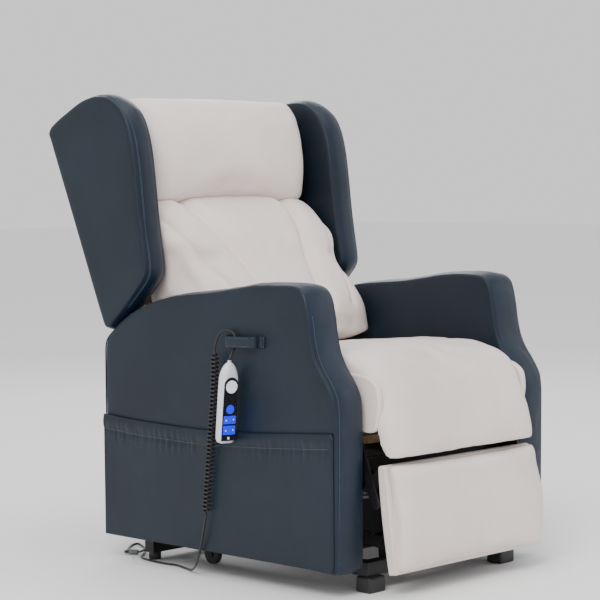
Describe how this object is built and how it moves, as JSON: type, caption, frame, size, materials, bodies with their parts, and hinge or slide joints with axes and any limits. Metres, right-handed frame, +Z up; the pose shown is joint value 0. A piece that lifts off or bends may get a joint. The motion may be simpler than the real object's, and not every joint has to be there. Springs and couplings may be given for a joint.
{
  "type": "lift recliner chair",
  "caption": "Powered rise-and-recline armchair with leather cushions, winged backrest, leg rest, floor lift frame and corded handset.",
  "frame": {"origin": "centre of the chair's bounding box in plan, on the floor", "axes": "+Z up; the chair faces -Y; +X is the seated person's left"},
  "size_m": [0.777, 1.0379, 1.103],
  "materials": {
    "navy_leather": "pebbled upholstery leather, satin",
    "cream_leather": "soft grained upholstery leather, satin",
    "black_steel": "black powder coat",
    "black_plastic": "moulded, fine texture",
    "grey_tyre": "matt rubber tread",
    "timber": "unfinished beech and plywood",
    "silver_plastic": "silver lacquered moulding",
    "blue_key": "translucent lit key",
    "white_key": "white moulded key",
    "steel_rod": "ground actuator rod",
    "black_cord": "black flexible sheath",
    "grey_cord": "grey flexible sheath and connector",
    "white_tie": "white tie strip"
  },
  "bodies": {
    "base": {"base_rail_left": "black_steel", "base_rail_right": "black_steel", "base_front_crossbar": "black_steel", "base_rear_crossbar": "black_steel", "front_foot_left": "black_plastic", "front_foot_right": "black_plastic", "rear_foot_left": "black_plastic", "rear_foot_right": "black_plastic"},
    "wheel_left": {"transit_wheel_left": "grey_tyre"},
    "wheel_right": {"transit_wheel_right": "grey_tyre"},
    "lift_arms": {"lift_arm_left": "black_steel", "lift_arm_right": "black_steel", "lift_torque_tube": "black_steel"},
    "guide_links": {"guide_link_left": "black_steel", "guide_link_right": "black_steel"},
    "lift_motor_body": {"lift_motor": "black_plastic"},
    "lift_rod_body": {"lift_rod": "steel_rod"},
    "chassis": {"chassis_side_left": "black_steel", "chassis_side_right": "black_steel", "chassis_front_tube": "black_steel", "chassis_rear_tube": "black_steel", "seat_deck": "timber", "control_box": "black_plastic", "arm_cover_left": "navy_leather", "arm_cover_right": "navy_leather", "arm_board_left": "timber", "arm_board_right": "timber", "side_pocket": "navy_leather", "handset_strap": "navy_leather", "seat_cushion": "cream_leather", "chaise_pad": "cream_leather", "handset_shell": "silver_plastic", "handset_face": "black_plastic", "handset_led": "white_key", "cord_lead": "black_cord", "cord_coil": "black_cord", "cord_tail": "grey_cord", "cord_plug": "grey_cord", "lead_socket": "grey_cord", "control_lead": "black_cord", "cord_tie": "white_tie", "back_motor": "black_plastic", "legrest_motor": "black_plastic"},
    "key_white": {"button_white": "white_key"},
    "key_blue": {"button_blue": "blue_key"},
    "key_upper": {"button_upper": "blue_key"},
    "key_lower": {"button_lower": "blue_key"},
    "backrest": {"back_frame": "timber", "back_panel": "navy_leather", "back_cushion": "cream_leather", "headrest_pillow": "cream_leather", "wing_left": "navy_leather", "wing_right": "navy_leather", "recline_bracket_left": "black_steel", "recline_bracket_right": "black_steel"},
    "back_rod_body": {"back_rod": "steel_rod"},
    "legrest": {"legrest_board": "timber", "legrest_pad": "cream_leather", "legrest_frame": "black_steel"},
    "legrest_rod_body": {"legrest_rod": "steel_rod"}
  },
  "joints": [
    {"name": "lift", "type": "hinge", "parent": "base", "child": "lift_arms", "pos_m": [0.0248, -0.26, 0.075], "axis": [1, 0, 0], "range_deg": [0, 40]},
    {"name": "chassis_tilt", "type": "hinge", "parent": "lift_arms", "child": "chassis", "pos_m": [0.0248, 0.14, 0.085], "axis": [1, 0, 0], "range_deg": [-18, 0]},
    {"name": "guide_swing", "type": "hinge", "parent": "base", "child": "guide_links", "pos_m": [0.0248, -0.369, 0.094], "axis": [1, 0, 0], "range_deg": [0, 53.2]},
    {"name": "lift_motor_tilt", "type": "hinge", "parent": "base", "child": "lift_motor_body", "pos_m": [0.0248, 0.2, 0.09], "axis": [1, 0, 0], "range_deg": [0, 2.7]},
    {"name": "lift_rod_slide", "type": "slide", "parent": "lift_motor_body", "child": "lift_rod_body", "axis": [0, -0.9818, 0.1897], "range_m": [0, 0.0675]},
    {"name": "recline", "type": "hinge", "parent": "chassis", "child": "backrest", "pos_m": [0.0248, 0.12, 0.385], "axis": [-1, 0, 0], "range_deg": [0, 45]},
    {"name": "back_rod_slide", "type": "slide", "parent": "chassis", "child": "back_rod_body", "axis": [0, -1, 0], "range_m": [0, 0.107]},
    {"name": "legrest_raise", "type": "hinge", "parent": "chassis", "child": "legrest", "pos_m": [0.0248, -0.37, 0.4], "axis": [-1, 0, 0], "range_deg": [0, 85]},
    {"name": "legrest_rod_slide", "type": "slide", "parent": "chassis", "child": "legrest_rod_body", "axis": [0, -1, 0], "range_m": [0, 0.096]},
    {"name": "wheel_left_spin", "type": "hinge", "parent": "base", "child": "wheel_left", "pos_m": [0.2573, 0.095, 0.0225], "axis": [1, 0, 0], "continuous": true},
    {"name": "wheel_right_spin", "type": "hinge", "parent": "base", "child": "wheel_right", "pos_m": [-0.2077, 0.095, 0.0225], "axis": [1, 0, 0], "continuous": true},
    {"name": "press_white", "type": "slide", "parent": "chassis", "child": "key_white", "axis": [0.1736, 0.9794, 0.1029], "range_m": [0, 0.001], "stiffness_N_per_m": 600, "springref_m": -0.0015},
    {"name": "press_blue", "type": "slide", "parent": "chassis", "child": "key_blue", "axis": [0.1736, 0.9794, 0.1029], "range_m": [0, 0.001], "stiffness_N_per_m": 600, "springref_m": -0.0015},
    {"name": "press_upper", "type": "slide", "parent": "chassis", "child": "key_upper", "axis": [0.1736, 0.9794, 0.1029], "range_m": [0, 0.001], "stiffness_N_per_m": 600, "springref_m": -0.0015},
    {"name": "press_lower", "type": "slide", "parent": "chassis", "child": "key_lower", "axis": [0.1736, 0.9794, 0.1029], "range_m": [0, 0.001], "stiffness_N_per_m": 600, "springref_m": -0.0015}
  ],
  "couplings": [
    {"joint": "chassis_tilt", "follows": "lift", "ratio": -0.45},
    {"joint": "guide_swing", "follows": "lift", "ratio": 1.3286},
    {"joint": "lift_motor_tilt", "follows": "lift", "ratio": 0.065},
    {"joint": "lift_rod_slide", "follows": "lift", "m_per_rad": 0.095},
    {"joint": "back_rod_slide", "follows": "recline", "m_per_rad": 0.1345},
    {"joint": "legrest_rod_slide", "follows": "legrest_raise", "m_per_rad": 0.0638}
  ]
}
